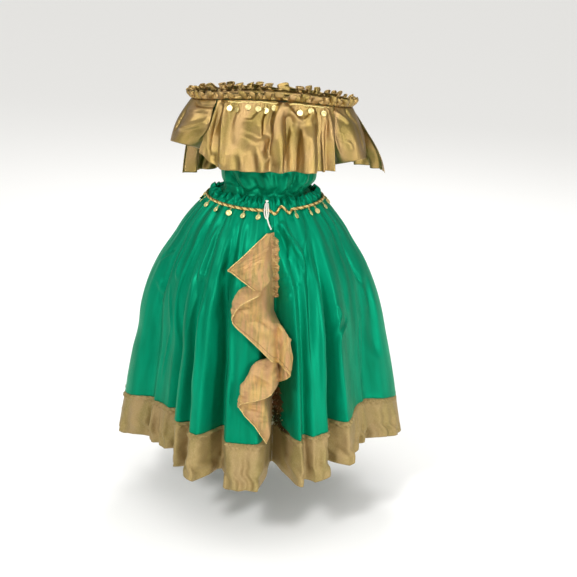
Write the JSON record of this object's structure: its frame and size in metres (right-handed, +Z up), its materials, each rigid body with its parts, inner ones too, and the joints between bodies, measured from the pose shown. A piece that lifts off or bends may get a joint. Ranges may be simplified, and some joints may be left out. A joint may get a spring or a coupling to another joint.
{
  "type": "umbanda blouse and skirt set",
  "caption": "Worn blouse with flounced open neckline and short sleeves, over a long flared skirt with cascade and hem ruffles and a coin belt, all hollow.",
  "frame": {"origin": "middle of the waist at the height of the belt braid, where the wearer's waist holds the set up", "axes": "+Z up, the front faces -Y, +X towards the right as seen from the front"},
  "size_m": [0.8722, 0.7988, 1.0781],
  "materials": {
    "green_satin": "satin",
    "gold_lame": "metallic sheen",
    "brass": "polished",
    "white_cord": "matte"
  },
  "bodies": {
    "root": {"bodice_back": "green_satin", "bodice_front": "green_satin", "cascade_heading": "gold_lame", "cascade_ruffle": "gold_lame", "flounce_back": "gold_lame", "flounce_front": "gold_lame", "hem_ruffle_back": "gold_lame", "hem_ruffle_front_left": "gold_lame", "hem_ruffle_front_right": "gold_lame", "neck_braid": "brass", "neck_coin_01": "brass", "neck_coin_02": "brass", "neck_coin_03": "brass", "neck_coin_04": "brass", "neck_coin_05": "brass", "neck_coin_06": "brass", "neck_coin_07": "brass", "neck_coin_08": "brass", "neck_coin_09": "brass", "neck_coin_10": "brass", "neck_heading": "gold_lame", "skirt_back": "green_satin", "skirt_front_left": "green_satin", "skirt_front_right": "green_satin", "sleeve_left": "gold_lame", "sleeve_right": "gold_lame", "tie_knot": "white_cord", "tie_loop": "white_cord", "tie_tail": "white_cord", "tie_tip": "white_cord", "waist_braid": "brass", "waist_coin_01": "brass", "waist_coin_02": "brass", "waist_coin_03": "brass", "waist_coin_04": "brass", "waist_coin_05": "brass", "waist_coin_06": "brass", "waist_coin_07": "brass", "waist_coin_08": "brass", "waist_coin_09": "brass", "waist_coin_10": "brass", "waist_coin_11": "brass", "waist_coin_12": "brass", "waist_coin_13": "brass", "waist_coin_14": "brass", "waist_coin_15": "brass", "waist_coin_16": "brass", "waist_coin_17": "brass", "waist_coin_18": "brass", "waist_coin_19": "brass", "waist_coin_20": "brass", "waist_coin_21": "brass", "waist_coin_22": "brass", "waist_coin_23": "brass"}
  },
  "joints": []
}
